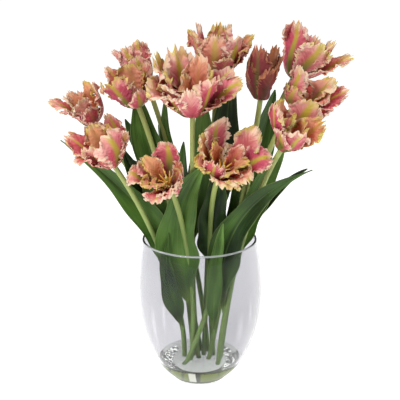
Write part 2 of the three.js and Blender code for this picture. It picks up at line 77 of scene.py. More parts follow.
# Stems and leaves. leaf_waves are counted along a leaf, and leaf_wave_turn is how far one side's
# are ahead of the other's.
stem_radius = 3.5
foot_gap = 0.3
leaf_thickness = 0.9
leaf_rows = 56
leaf_columns = 12
leaf_root_half = 2.6
leaf_tip_half = 0.7
leaf_channel = 0.28
leaf_sink = 0.45
leaf_waves = 2.2
leaf_wave_turn = 0.37
leaf_outline = 0.1
leaf_outline_waves = 1.3 * leaf_waves
leaf_flutter = 0.12
leaf_flutter_waves = 6.3
leaf_midrib_depth = 0.6
leaf_midrib_width = 0.12

# Petals. A root is how far out and how far up from the seat's foot a petal starts.
petal_thickness = 0.6
petal_rows = 60
petal_columns = 22
petal_root_half = 2
outer_root = (4.2, 1.4)
inner_root = (2.6, 3.8)
petal_curl = 0.4
cup_at_root = 1.15
cup_at_tip = 0.4
tip_rounding = 0.14
sector_share = 1.1
petal_overlap = 9
inner_stripe = 0.4
clear_radius = 7
seat_radius = 5.1
seat_height = 5
seat_gap = 0.3

# How a petal's blade is worked, with heights for a petal of the common width. A pair is a range
# for a draw.
common_width = 45
wave_height = 4
wave_count = (1.6, 3)
flutter_height = 1
flutter_count = 9.5
bulge = (-1.5, 1.5)
edge_roll = (-2.5, 5)
pleat_height = 1
pleat_count = 10
midrib_depth = 0.9
midrib_width = 0.13
frill_height = 2.6
frill_count = 1.6
tip_flop = (-3, 7)

# How a petal's outline is cut, as shares of its length or of its half width
lobe_start = (0.22, 0.36)
lobe_notch = (0.1, 0.32)
lobe_lift = (1.5, 6)
tooth_depth = (0.05, 0.17)
tip_tooth_depth = (0.03, 0.11)
spare = 20

# Neighbouring blooms press on each other, but not next to their seats
press_depth = 18
press_gap = 0.9
press_start = 9
press_full = 24

# Stamens and pistil
stamen_count = 6
stamen_length = (13, 16)
pistil_length = 13


# A petal's tip is where it ends and lean how far it tips outward there, in degrees. warm turns it
# from rose to apricot, yellow colours its edge, roll turns its blade, stripe is how clear its mid
# stripe is, and pale how far its pale edge reaches in.
Petal = namedtuple("Petal", "tip width lean warm yellow inner roll stripe pale",
                   defaults=(0, 0, False, 0, 1, 0))

# foot is where a stem stands, low pulls its lower bend, neck is how far it runs straight below its
# bloom, base is where the bloom sits and axis the way it opens. reach and height are the bloom's
# size among its neighbours, and spread is how far its stamens open.
Flower = namedtuple("Flower", "name foot low neck base axis reach height seed petals spread dark",
                    defaults=(0.45, False))

flowers = [
    Flower("a", (2, 29), (-10, 30, 125), 100, (-139, 30, 354), (-0.6, -0.1, 0.79),
           reach=38, height=54, seed=11, petals=[
        Petal((-202, 20, 389), 30, 45, 0.1, 0.3, roll=-40), Petal((-187, 16, 375), 26, 55),
        Petal((-141, 22, 413), 36, 6, 0.5, stripe=0.7),
        Petal((-157, 34, 411), 32, 8, 0.9, 0.9, True), Petal((-178, 38, 398), 24, 15, 0.8, 0, True),
        Petal((-164, 10, 390), 40, 32, 0.4, 0.2, stripe=0.1, pale=0.5),
        Petal((-150, 6, 380), 30, 14, 0.2, stripe=0.3), Petal((-172, 60, 392), 40, 25, 0.1),
        Petal((-184, 26, 391), 30, 30, 0.3, 0.2, pale=0.3)]),
    Flower("b", (-22, 10), (-16, -2, 110), 90, (-111, -30, 311), (-0.46, -0.35, 0.82),
           reach=44, height=72, seed=12, petals=[
        Petal((-118, -76, 366), 68, -14),
        Petal((-145, -62, 347), 40, 24, 0.3, 0.2, stripe=0.2, pale=0.2),
        Petal((-118, -16, 389), 42, 16, 0.1, 0.3), Petal((-142, -30, 366), 44, 14, 1, 0.5, True),
        Petal((-175, -30, 355), 34, 40, 0.2, 0.4, roll=-25), Petal((-164, -38, 325), 32, 70, 0.3),
        Petal((-97, -32, 358), 34, 30, 0.6), Petal((-119, -36, 369), 26, 10, 0.9, 1, True),
        Petal((-150, 2, 372), 44, 30, 0.2), Petal((-98, -50, 346), 34, 10, 0.2, stripe=0.2)]),
    Flower("c", (-9, 13), (-12, 12, 130), 110, (-80, 5, 382), (-0.32, -0.15, 0.93),
           reach=38, height=56, seed=31, petals=[
        Petal((-119, -40, 424), 58, 46, 0, 0.9), Petal((-77, -34, 411), 38, 2),
        Petal((-95, -26, 419), 34, 8, stripe=0.2, pale=0.3),
        Petal((-95, 12, 440), 56, 8, 0.7, 1, True), Petal((-72, 14, 446), 40, 18, 0.2, 0.2),
        Petal((-121, 14, 437), 40, 26, 0.4), Petal((-125, 0, 402), 26, 80),
        Petal((-62, 0, 412), 38, 30, 0.3), Petal((-98, 40, 432), 44, 25, 0.2)]),
    Flower("d", (13, 27), (4, 26, 130), 110, (-72, 48, 408), (-0.36, 0.2, 0.91),
           reach=38, height=52, seed=14, petals=[
        Petal((-101, 36, 457), 42, 20, 0.1), Petal((-87, 42, 464), 40, 0, 0.2, 0.4),
        Petal((-71, 56, 461), 30, 18, 0.2), Petal((-119, 46, 449), 28, 42),
        Petal((-98, 78, 452), 44, 25, 0.4), Petal((-86, 28, 446), 34, 10, 0.3),
        Petal((-92, 62, 452), 30, 10, 1, 0.6, True)]),
    Flower("e", (-1, 4), (-14, 4, 120), 100, (-9, -30, 376), (0, -0.2, 0.98),
           reach=64, height=66, seed=15, petals=[
        Petal((-42, -66, 412), 54, 50, pale=0.2),
        Petal((-74, -44, 424), 56, 72, 0.2, 0.35, roll=-34, stripe=0.2, pale=0.5),
        Petal((-12, -82, 423), 32, 18, stripe=0.1, pale=0.2),
        Petal((20, -72, 434), 58, 40, 0.1, 0.2), Petal((56, -40, 425), 42, 74, 0, 0.6, roll=40),
        Petal((41, -30, 408), 32, 95, 0.4), Petal((30, -50, 394), 28, 100, 0.3, stripe=0.1),
        Petal((-29, -16, 468), 62, 14, 0.1, 0.3, pale=0.3),
        Petal((-1, -34, 457), 44, 4, 0.75, 0, True), Petal((-19, -34, 434), 34, 20, 1, 0.3, True),
        Petal((17, -40, 440), 40, 20, 0.5, 0.6, True, pale=0.6),
        Petal((-60, -20, 460), 50, 32, 0.1, 0.6, pale=0.4),
        Petal((44, -8, 444), 46, 50, 0, pale=0.3), Petal((-12, 18, 444), 50, 45, 0.2),
        Petal((-47, -40, 438), 44, 40, 0.2, 0.8, True),
        Petal((-44, -62, 426), 46, 34, 0.3, 0.3, stripe=0.6, pale=0.4)]),
    Flower("f", (6, 15), (10, 15, 130), 110, (24, 42, 418), (0.08, 0.1, 0.99),
           reach=48, height=58, seed=16, petals=[
        Petal((21, 14, 476), 52, 2, 0.9), Petal((-11, 34, 482), 48, 26, 0.6, 0.7),
        Petal((1, 60, 487), 40, 12, 0), Petal((27, 64, 487), 40, 12, 0.6, 1),
        Petal((44, 50, 485), 44, 8, 0.1, 0.4), Petal((52, 24, 474), 54, 14),
        Petal((76, 38, 471), 34, 50, 0.6, 1, roll=25), Petal((74, 46, 455), 34, 72, 0.2, roll=30),
        Petal((36, 16, 448), 34, 20, 0.5, 0.4, True), Petal((24, 84, 466), 48, 40, 0.2),
        Petal((12, 44, 470), 34, 10, 1, 0.4, True)]),
    Flower("g", (13, 1), (30, -12, 130), 100, (80, 10, 390), (0.12, 0.03, 0.99),
           reach=30, height=66, spread=0.05, dark=True, seed=17, petals=[
        Petal((62, -4, 450), 38, 8, 1, 0.6, stripe=0.2), Petal((76, -16, 468), 42, 4, 0.1),
        Petal((116, 0, 448), 48, 28, 0.5, stripe=0.6), Petal((98, 14, 465), 40, 6, 1, stripe=0.2),
        Petal((92, -22, 440), 40, 0, 0.3, stripe=0.3), Petal((72, 30, 456), 40, 8, 0.7, stripe=0.3),
        Petal((108, 24, 454), 40, 10, 0.9, stripe=0.3)]),
    Flower("h", (-22, -17), (25, -8, 112), 110, (126, 54, 410), (0.5, 0.2, 0.84),
           reach=46, height=68, spread=0.22, seed=18, petals=[
        Petal((135, 46, 491), 54, 24), Petal((164, 28, 462), 62, 14, 0.15, 0.4, roll=10, pale=0.3),
        Petal((208, 52, 445), 34, 40, 0.2, 0.3, roll=50, pale=0.3),
        Petal((183, 58, 428), 34, 50, 0.6, roll=40), Petal((180, 52, 464), 50, 0, 0.3, 0.4),
        Petal((122, 90, 456), 44, 20), Petal((164, 84, 466), 46, 15, 0.2),
        Petal((176, 88, 444), 40, 40, 0.3)]),
    Flower("i", (29, 1), (38, -2, 120), 90, (122, 6, 380), (0.58, 0.05, 0.81),
           reach=46, height=56, seed=19, petals=[
        Petal((134, -6, 438), 50, 24, pale=0.2), Petal((109, 0, 418), 28, 45, 1, 1),
        Petal((175, 8, 423), 52, 0, 0.5, 0.4, roll=25, pale=0.3),
        Petal((196, 4, 407), 34, 30, 0.1, roll=50), Petal((178, 10, 377), 34, 75, roll=40),
        Petal((171, 2, 404), 38, 20, 0.5, 0.3, roll=30), Petal((125, -12, 412), 34, 10, 0.5, 0.4),
        Petal((166, 32, 410), 44, 25, 0.3)]),
    Flower("j", (26, -16), (30, -18, 110), 90, (105, -40, 336), (0.42, -0.35, 0.84),
           reach=38, height=62, seed=20, petals=[
        Petal((97, -84, 406), 40, 4, 0, 0.3, roll=20), Petal((128, -84, 368), 52, 14, pale=0.1),
        Petal((150, -36, 409), 58, 8, 0, 0.4), Petal((109, -40, 405), 38, 14, 0.5, 1, True),
        Petal((161, -48, 375), 46, 40, 0.8, 0.8, roll=25),
        Petal((121, -60, 386), 38, 4, 0.3, 0.9, True, pale=0.6),
        Petal((135, -56, 378), 34, 4, 0.9, 0.6, True), Petal((102, -82, 370), 40, 2),
        Petal((146, -16, 384), 42, 40, 0.1)]),
    Flower("k", (20, 14), (14, 18, 110), 70, (26, -45, 304), (0.28, -0.57, 0.77),
           reach=84, height=52, spread=0.5, seed=21, petals=[
        Petal((25, -42, 391), 44, 18, 0.1, 0.2, pale=0.8),
        Petal((80, -42, 368), 40, 50, 0.15, 0.5, stripe=0.1, pale=0.6),
        Petal((98, -58, 334), 42, 76, 0, 0.2),
        Petal((3, -46, 363), 44, 46, 1, 0.5, stripe=0.3, pale=0.4),
        Petal((-8, -62, 327), 42, 70, 0.6, 0.9, stripe=0, pale=0.6),
        Petal((20, -92, 330), 38, 14, 0.1, 0.3),
        Petal((60, -92, 304), 46, 96, 0.5, 0.4, stripe=0, pale=0.5),
        Petal((36, -98, 300), 46, 98, 0.5, 0.5, stripe=0.1, pale=0.5),
        Petal((56, -60, 346), 24, 34, 0.5, 0, True), Petal((20, -54, 350), 22, 34, 1, 1, True),
        Petal((62, -82, 330), 26, 56, 0.9, 1, True),
        Petal((45, -94, 322), 26, 30, 0.8, 0.6, True)]),
    Flower("l", (-13, -2), (0, -8, 105), 80, (-38, -50, 289), (-0.26, -0.52, 0.81),
           reach=48, height=50, seed=22, petals=[
        Petal((-43, -34, 350), 48, 30, 0.1),
        Petal((-103, -58, 316), 42, 62, 0.2, roll=-15, pale=0.4),
        Petal((-70, -56, 332), 27, 34, 1, 0.7, True), Petal((-74, -76, 299), 34, 72, 0.7, 1),
        Petal((-57, -92, 280), 48, 92, 0.2, pale=0.3), Petal((-15, -80, 303), 40, 56, 0.1),
        Petal((-12, -50, 323), 36, 60, 0.8), Petal((-16, -60, 313), 26, 50, 0.9, 1, True),
        Petal((-36, -94, 292), 40, 60, 0.6, 0, True, pale=0.5), Petal((-82, -44, 325), 36, 46, 0.2),
        Petal((-60, -76, 303), 34, 40, 1, 0.8, True)]),
]

# at is how far up its stem a leaf grows, low and bend pull its curve to its tip, and face is the
# way its upper side looks. wave is how high its waves are, phase where they start, twist turns its
# tip, in degrees, and tip_form is lower for a rounder tip.
Leaf = namedtuple("Leaf", "on at low bend tip face width wave phase twist tip_form",
                  defaults=(0.65,))

leaves = [
    Leaf("b", 0.3, (-30, 2, 204), (-86, 4, 262), (-184, 2, 338), (-0.3, -1, 0.3), 38, 2.5, 0.1,
         -15, 1.1),
    Leaf("b", 0.18, (-28, -14, 98), (-56, -26, 158), (-41, -20, 216), (0.2, -1, 0.1), 25, 2.5, 0.6,
         10, 0.9),
    Leaf("a", 0.4, (-44, 24, 205), (-80, 25, 262), (-104, 22, 322), (0, -1, 0.3), 36, 3, 0.3, -20),
    Leaf("c", 0.4, (-34, 12, 225), (-66, 8, 300), (-83, 28, 387), (0.1, -1, 0.2), 48, 3, 0.5, 12,
         0.4),
    Leaf("d", 0.52, (-40, 40, 255), (-76, 44, 300), (-101, 42, 358), (0, -1, 0.2), 30, 2.5, 0.2,
         -10),
    Leaf("d", 0.55, (-34, 34, 270), (-52, 36, 330), (-46, 38, 388), (0.2, -1, 0), 19, 1.5, 0.8, 25),
    Leaf("l", 0.3, (-32, -10, 164), (-46, -24, 242), (6, -26, 310), (0, -1, 0.2), 54, 4, 0.4, 14),
    Leaf("g", 0.14, (16, -23, 110), (18, -46, 190), (31, -48, 238), (0.1, -1, 0.2), 21, 1.2, 0.13,
         -10),
    Leaf("k", 0.46, (14, -6, 192), (20, -10, 240), (22, -14, 306), (0, -1, 0.2), 42, 4.5, 0.15,
         -12),
    Leaf("j", 0.26, (24, -22, 160), (26, -40, 262), (142, -72, 317), (-0.5, -1, 0.5), 44, 5, 0.45,
         -18, 1.15),
    Leaf("j", 0.45, (46, -2, 215), (82, -2, 262), (112, -6, 332), (0, -1, 0.2), 36, 3, 0.65, 10),
    Leaf("h", 0.42, (57, 15, 232), (78, 30, 305), (101, 32, 400), (0, -1, 0.1), 44, 3.5, 0.35, -12),
    Leaf("f", 0.54, (24, 22, 262), (37, 25, 320), (40, 26, 414), (0, -1, 0.1), 42, 3, 0.55, 10,
         0.4),
    Leaf("e", 0.5, (-4, 8, 240), (8, 6, 310), (4, 12, 396), (0, -1, 0.1), 34, 3, 0.25, -10, 0.45),
    Leaf("e", 0.4, (-16, 8, 200), (-28, 6, 280), (-21, 2, 336), (0, -1, 0.1), 24, 2, 0.75, 15),
    Leaf("d", 0.5, (-20, 50, 236), (-38, 62, 285), (-58, 88, 340), (0, 1, 0.4), 38, 3, 0.9, 15),
    Leaf("f", 0.48, (26, 42, 232), (20, 62, 285), (34, 98, 334), (0, 1, 0.4), 40, 3, 0.5, -15),
    Leaf("h", 0.45, (50, 36, 222), (78, 58, 290), (110, 88, 346), (0.3, 1, 0.4), 36, 3, 0.05, 15),
    Leaf("i", 0.38, (61, 6, 205), (84, 18, 258), (148, 34, 290), (-0.7, -0.3, 0.6), 28, 2.5, 0.85,
         -15),
    Leaf("a", 0.42, (-38, 32, 215), (-60, 50, 268), (-118, 74, 304), (-0.2, 1, 0.6), 34, 2.5, 0.6,
         15),
]


# Small sums

def draws(seed):
    """The same numbers between 0 and 1 on every run"""
    state = seed
    while True:
        state = (state * 1664525 + 1013904223) % 2**32
        yield state / 2**32


def mix(low, high, share):
    return low + (high - low) * share


def smooth(value, low, high):
    """A soft step from 0 to 1 as the value goes from low to high"""
    share = np.clip((value - low) / (high - low), 0, 1)
    return share * share * (3 - 2 * share)


def waves(turns):
    """A wave that comes back after each whole turn"""
    return np.sin(2 * np.pi * turns)


def unit(vector):
    vector = np.asarray(vector, float)
    return vector / np.linalg.norm(vector, axis=-1, keepdims=True)


def bezier(points, share):
    """Points on a cubic curve, and its direction there"""
    a, b, c, d = (np.asarray(p, float) for p in points)
    t = np.asarray(share, float)[..., None]
    s = 1 - t
    place = s**3 * a + 3 * s * s * t * b + 3 * s * t * t * c + t**3 * d
    way = 3 * s * s * (b - a) + 6 * s * t * (c - b) + 3 * t * t * (d - c)
    return place, unit(way)


# Making pieces

def keep_on_its_own(piece):
    """Leaves only this piece selected and in hand"""
    bpy.ops.object.select_all(action="DESELECT")
    piece.select_set(True)
    bpy.context.view_layer.objects.active = piece


def wear(piece, *materials):
    """Gives a piece its materials, in place of any that it has"""
    piece.data.materials.clear()
    for material in materials:
        piece.data.materials.append(material)


def flat_blank(columns, rows):
    """A flat sheet cut into rows and columns, from which petals or leaves are shaped"""
    bpy.ops.mesh.primitive_grid_add(x_subdivisions=columns, y_subdivisions=rows, size=2)
    return bpy.context.object


def shaped(blank, form, *details):
    """A copy of a blank, with each point where its form puts it, in millimetres"""
    sheet = blank.copy()
    sheet.data = blank.data.copy()
    bpy.context.scene.collection.objects.link(sheet)
    flat = np.zeros(len(sheet.data.vertices) * 3)
    sheet.data.vertices.foreach_get("co", flat)
    flat = flat.reshape(-1, 3)
    across = flat[:, 0]
    along = (flat[:, 1] + 1) / 2
    sheet.data.vertices.foreach_set("co", (form(along, across, *details) * mm).ravel())
    sheet.data.update()
    return sheet


def marked(sheet, **marks):
    """Writes one value for the whole sheet under each mark, for its finish to read"""
    for mark, value in marks.items():
        layer = sheet.data.attributes.new(mark, "FLOAT", "POINT")
        layer.data.foreach_set("value", np.full(len(layer.data), value, np.float32))
    return sheet


def joined(name, pieces):
    keep_on_its_own(pieces[0])
    for piece in pieces[1:]:
        piece.select_set(True)
    bpy.ops.object.join()
    pieces[0].name = pieces[0].data.name = name
    return pieces[0]


def thickened(piece, thickness, inside=0):
    """Gives a sheet its thickness. Its far face wears the material inside places further on."""
    keep_on_its_own(piece)
    wall = piece.modifiers.new("thickness", "SOLIDIFY")
    wall.thickness = thickness * mm
    wall.offset = 0
    wall.material_offset = inside
    wall.use_rim = True
    bpy.ops.object.modifier_apply(modifier=wall.name)


def smoothed(piece, degrees=60):
    keep_on_its_own(piece)
    bpy.ops.object.shade_smooth_by_angle(angle=math.radians(degrees))


def turned(name, profile, finish):
    """A solid of revolution, drawn up from a disc ring by ring"""
    radius, height = profile[0]
    bpy.ops.mesh.primitive_circle_add(vertices=vase_sides, radius=radius * mm, fill_type="NGON",
                                      location=(0, 0, height * mm))
    piece = bpy.context.object
    bpy.ops.object.transform_apply(location=True, rotation=False, scale=False)
    bpy.ops.object.mode_set(mode="EDIT")
    bpy.ops.mesh.select_all(action="SELECT")
    for next_radius, next_height in profile[1:]:
        bpy.ops.mesh.extrude_region_move(
            TRANSFORM_OT_translate={"value": (0, 0, (next_height - height) * mm)})
        share = next_radius / radius
        bpy.ops.transform.resize(value=(share, share, 1), center_override=(0, 0, 0))
        radius, height = next_radius, next_height
    bpy.ops.mesh.select_all(action="SELECT")
    bpy.ops.mesh.normals_make_consistent(inside=False)
    bpy.ops.object.mode_set(mode="OBJECT")
    piece.name = piece.data.name = name
    wear(piece, finish)
    smoothed(piece, 50)
    return piece


def rod(points, beyond, radii, steps, roundness, *finish):
    """A round rod along a curve through four points, with the handles beyond its two ends"""
    bpy.ops.curve.primitive_bezier_curve_add()
    curve = bpy.context.object
    first, last = curve.data.splines[0].bezier_points
    for point in (first, last):
        point.handle_left_type = point.handle_right_type = "FREE"
    start, low, high, end = (point * mm for point in points)
    before, after = (point * mm for point in beyond)
    first.handle_left, first.co, first.handle_right = before, start, low
    last.handle_left, last.co, last.handle_right = high, end, after
    first.radius, last.radius = radii
    curve.data.resolution_u = steps
    curve.data.bevel_depth = mm
    curve.data.bevel_resolution = roundness
    curve.data.use_fill_caps = True
    bpy.ops.object.convert(target="MESH")
    piece = bpy.context.object
    wear(piece, *finish)
    return piece


# Finishes

class Wire:
    """A value inside a finish, so that sums on it read as sums"""

    def __init__(self, finish, socket):
        self.finish = finish
        self.socket = socket

    def sum(self, operation, *others):
        return self.finish.add("ShaderNodeMath", {"operation": operation}, [self, *others])

    __add__ = partialmethod(sum, "ADD")
    __sub__ = partialmethod(sum, "SUBTRACT")
    __mul__ = partialmethod(sum, "MULTIPLY")
    __pow__ = partialmethod(sum, "POWER")
    __abs__ = partialmethod(sum, "ABSOLUTE")
    most = partialmethod(sum, "MAXIMUM")

    def rise(self, low, high, start=0, end=1):
        """A soft step from start to end as the value goes from low to high"""
        settings = {"interpolation_type": "SMOOTHSTEP"}
        inputs = {"Value": self, "From Min": low, "From Max": high, "To Min": start, "To Max": end}
        return self.finish.add("ShaderNodeMapRange", settings, inputs)

    def fall(self, low, high):
        return self.rise(low, high, 1, 0)


class Finish:
    """A material drawn from nodes"""

    def __init__(self, name):
        self.material = bpy.data.materials.new(name)
        self.material.use_nodes = True
        self.tree = self.material.node_tree
        self.tree.nodes.clear()

    def add(self, kind, settings=None, inputs=None, output=0):
        node = self.tree.nodes.new(kind)
        for name, value in (settings or {}).items():
            setattr(node, name, value)
        pairs = enumerate(inputs) if isinstance(inputs, list) else (inputs or {}).items()
        for name, value in pairs:
            if isinstance(value, Wire):
                self.tree.links.new(value.socket, node.inputs[name])
            else:
                node.inputs[name].default_value = value
        return Wire(self, node.outputs[output])

    def blend(self, first, second, share):
        """A colour between two colours. Its sockets go by number, as some share a name."""
        return self.add("ShaderNodeMix", {"data_type": "RGBA"}, {0: share, 6: first, 7: second}, 2)

    def parts(self, vector):
        first = self.add("ShaderNodeSeparateXYZ", inputs=[vector])
        return [Wire(self, output) for output in first.socket.node.outputs]

    def place(self):
        """Where a point is, in metres"""
        return self.parts(self.add("ShaderNodeTexCoord", output="Object"))

    def place_on_blade(self):
        """Where a point is on a petal or leaf: -1 to 1 across, 0 to 1 from the midrib to either
        edge, and 0 to 1 along"""
        side, along, _ = self.parts(self.add("ShaderNodeUVMap", {"uv_map": "UVMap"}))
        signed = side * 2 - 1
        return signed, abs(signed), along

    def mark(self, name):
        return self.add("ShaderNodeAttribute", {"attribute_name": name}, output="Fac")

    def grain(self, x, y, z, detail=2.0):
        vector = self.add("ShaderNodeCombineXYZ", inputs=[x, y, z])
        return self.add("ShaderNodeTexNoise",
                        inputs={"Vector": vector, "Scale": 1.0, "Detail": detail})

    def bump(self, height, depth, strength=1.0):
        return self.add("ShaderNodeBump", inputs={"Height": height, "Distance": depth * mm,
                                                  "Strength": strength})

    def principled(self, inputs):
        named = {name.replace("_", " "): value for name, value in inputs.items()}
        return self.add("ShaderNodeBsdfPrincipled", inputs=named)

    def finish(self, shader):
        output = self.tree.nodes.new("ShaderNodeOutputMaterial")
        self.tree.links.new(shader.socket, output.inputs["Surface"])
        return self.material

    def surface(self, **inputs):
        return self.finish(self.principled(inputs))

    def clear(self, colour, shade_colour, painted_light=None, share=0.0, painted_glow=None, **inputs):
        """See-through, and lit through: what falls in its shade is still lit, in the even shade
        colour. Where painted light has a share, a surface of that colour is mixed in over the
        glass,
        glowing in the glow colour: painted highlights, glints and reflections."""
        solid = self.principled(dict(inputs, Base_Color=colour, Roughness=0.0,
                                     Transmission_Weight=1.0))
        through = self.add("ShaderNodeBsdfTransparent", inputs={"Color": shade_colour})
        shade = self.add("ShaderNodeLightPath", output="Is Shadow Ray")
        whole = self.add("ShaderNodeMixShader", inputs=[shade, solid, through])
        if painted_light is not None:
            painted_light_skin = self.principled(dict(Base_Color=painted_light, Roughness=0.3, Emission_Color=painted_glow,
                                        Emission_Strength=0.9))
            whole = self.add("ShaderNodeMixShader", inputs=[share, whole, painted_light_skin])
        return self.finish(whole)


def tint(red, green, blue):
    """A colour as seen on a screen, 0 to 255, turned into light"""
    light = [((c / 255 + 0.055) / 1.055) ** 2.4 if c > 10 else c / 255 / 12.92
             for c in (red, green, blue)]
    return (*light, 1)


def tints(**colours):
    return SimpleNamespace(**{name: tint(*colour) for name, colour in colours.items()})


white = (1, 1, 1, 1)
black = (0, 0, 0, 1)
# In each palette the deepest inner colour is painted shade, for the throat of the bloom
rose_palette = tints(
    stripe_low=(92, 102, 28), stripe_high=(186, 168, 60),
    deep=(136, 34, 62), middle=(190, 78, 98), pale=(226, 154, 148),
    edge=(238, 207, 178), edge_warm=(204, 192, 84),
    inner_deep=(96, 24, 12), inner_middle=(178, 88, 50), inner_pale=(220, 152, 112),
    inner_stripe=(160, 124, 50))
dark_palette = tints(
    stripe_low=(70, 78, 26), stripe_high=(100, 80, 36),
    deep=(74, 12, 22), middle=(108, 28, 42), pale=(140, 62, 58),
    edge=(168, 112, 78), edge_warm=(138, 98, 50),
    inner_deep=(56, 16, 10), inner_middle=(118, 56, 36), inner_pale=(146, 88, 58),
    inner_stripe=(94, 74, 30))
leaf_palette = tints(
    deep=(17, 38, 8), middle=(70, 106, 34), light=(104, 138, 66),
    root=(104, 128, 58), midrib=(96, 122, 56), edge=(140, 158, 90))
stalk_palette = tints(foot=(116, 146, 74), top=(160, 170, 94), groove=(120, 140, 70))
# Glass: front and back tints, the shade colour its shadows pass, and painted light: the streak is a
# painted highlight, the greens, gap and foot paint the stems seen through the base, and the rest
# colour the painted glints, dark reflections and rim highlight
glass_palette = tints(
    front=(227, 227, 229), back=(199, 199, 203), shade=(213, 213, 216),
    streak=(250, 250, 252), green_deep=(24, 34, 4), green_light=(98, 112, 28),
    gap=(206, 208, 196), foot=(50, 56, 42), spark_deep=(70, 72, 76),
    rim=(214, 220, 216))
water_tint = tint(240, 243, 236)


def petal_finish(name, palette, inner):
    """One face of a petal: a mid stripe, rays of colour from it, and a pale cut edge, and on the
    inner face painted shade deepening into the throat. The numbers that a petal's own mark is
    multiplied by give each petal its own place in the noise."""
    f = Finish(name)
    signed, across, along = f.place_on_blade()
    petal, warm, yellow, clear, pale = (f.mark(mark) for mark in
                                        ("petal", "warm", "yellow", "stripe", "pale"))
    ray = along - across * 0.36
    rays = f.grain(ray * 18, signed * 1.8 + petal * 31, petal * 17, 3)
    hairs = f.grain(ray * 60, signed * 2.5 + petal * 23, petal * 11)
    cloud = f.grain(ray * 3, signed * 1.5 + petal * 13, petal * 7 + 4)
    streak = rays * 0.7 + hairs * 0.3
    streaky = streak - 0.5
    cloudy = cloud - 0.5
    width = along.rise(0, 1, 0.5, 0.12) * (petal * 0.6 + 0.5) + cloudy * 0.1
    stripe = (across + (hairs - 0.5) * 0.12).fall(width * 0.2, width * 1.5)
    fade = across.most(along * 1.05 - 0.12) * 0.8 + along * 0.16 + streaky * 0.75
    fade += cloudy * 0.5 + (petal - 0.5) * 0.24 + pale * 0.3
    at_side = (across + streaky * 0.5 + pale * 0.3).rise(0.76, 1.04)
    at_tip = (along + streaky * 0.35 + pale * 0.16).rise(0.85, 1.03)
    gold = (cloudy * 2.2 + yellow).rise(0.2, 0.8)
    rose = f.blend(palette.deep, palette.middle, fade.rise(0.14, 0.56))
    rose = f.blend(rose, palette.pale, fade.rise(0.54, 0.95))
    apricot = f.blend(palette.inner_middle, palette.inner_pale, fade.rise(0.25, 0.75))
    low, high = (0.3, 0.8) if inner else (0.25, 0.85)
    lines = f.blend(palette.stripe_low, palette.stripe_high, along.rise(low, high))
    if inner:
        # Painted shade: the inner face darkens towards its root, in the throat
        light = (along + cloudy * 0.5 + streaky * 0.5).rise(0.1, 0.5)
        body = f.blend(palette.inner_deep, f.blend(rose, apricot, warm), light)
        lines = f.blend(lines, palette.inner_stripe, warm * 0.8)
        strength = stripe * clear * (warm * -0.3 + 1) * along.rise(0.08, 0.4)
    else:
        body = f.blend(rose, apricot, warm * 0.65)
        strength = stripe * clear * (warm * -0.3 + 0.95)
    margin = f.blend(palette.edge, palette.edge_warm, gold)
    colour = f.blend(body, lines, strength)
    colour = f.blend(colour, margin, at_side.most(at_tip) * 0.85)
    return f.surface(Base_Color=colour, Roughness=streak * 0.15 + 0.5,
                     Normal=f.bump(streak, 0.7, 0.7), Subsurface_Weight=0.25,
                     Subsurface_Scale=0.004, Subsurface_Radius=(1.0, 0.45, 0.3),
                     Specular_IOR_Level=0.3)


def leaf_finish(name):
    """Satin blade with long veins, a pale root, a paler midrib and a thin pale edge"""
    f = Finish(name)
    signed, across, along = f.place_on_blade()
    leaf = f.mark("leaf")
    veins = f.grain(signed * 26, along * 1.6 + leaf * 11, leaf * 23)
    cloud = f.grain(signed * 1.2, along * 3 + leaf * 5, leaf * 9, 3)
    tone = cloud * 0.7 + (veins - 0.5) * 0.3 + leaf * 0.35
    palette = leaf_palette
    colour = f.blend(palette.deep, palette.middle, tone.rise(0.3, 0.75))
    colour = f.blend(colour, palette.light, (tone + along * 0.2).rise(0.7, 1.1))
    colour = f.blend(palette.root, colour, along.rise(0, 0.22))
    colour = f.blend(colour, palette.midrib, across.rise(0, 0.07, 0.45, 0))
    colour = f.blend(colour, palette.edge, across.rise(0.96, 1) * 0.35)
    return f.surface(Base_Color=colour, Roughness=veins * 0.14 + 0.36,
                     Normal=f.bump(veins, 0.35, 0.5), Specular_IOR_Level=0.3)


def stalk_finish(name):
    """Pale yellow-green stalk, greener towards its foot, with faint long grooves"""
    f = Finish(name)
    x, y, z = f.place()
    grooves = f.grain(x * 900, y * 900, z * 14)
    height = (z + (grooves - 0.5) * 0.04).rise(0.12, 0.34)
    colour = f.blend(stalk_palette.foot, stalk_palette.top, height)
    colour = f.blend(colour, stalk_palette.groove, grooves.rise(0.4, 0.8) * 0.5)
    return f.surface(Base_Color=colour, Roughness=grooves * 0.1 + 0.4,
                     Normal=f.bump(grooves, 0.2, 0.5), Subsurface_Weight=0.1,
                     Subsurface_Scale=0.003)


def grainy_finish(name, deep, light, scale, detail, softness, roughness):
    """Two colours in fine grains"""
    f = Finish(name)
    x, y, z = f.place()
    grain = f.grain(x * scale, y * scale, z * scale, detail)
    colour = f.blend(deep, light, grain.rise(0.5 - softness, 0.5 + softness))
    return f.surface(Base_Color=colour, Roughness=grain * 0.2 + roughness,
                     Normal=f.bump(grain, 0.2))


# Each painted highlight streaking down the glass: its side of the vase in degrees, and its lower
# end, upper end and half width in metres
light_streaks = [(-137, 0.055, 0.135, 0.006), (-124, 0.085, 0.15, 0.004),
                 (-49, 0.062, 0.125, 0.009), (-36, 0.085, 0.14, 0.004)]


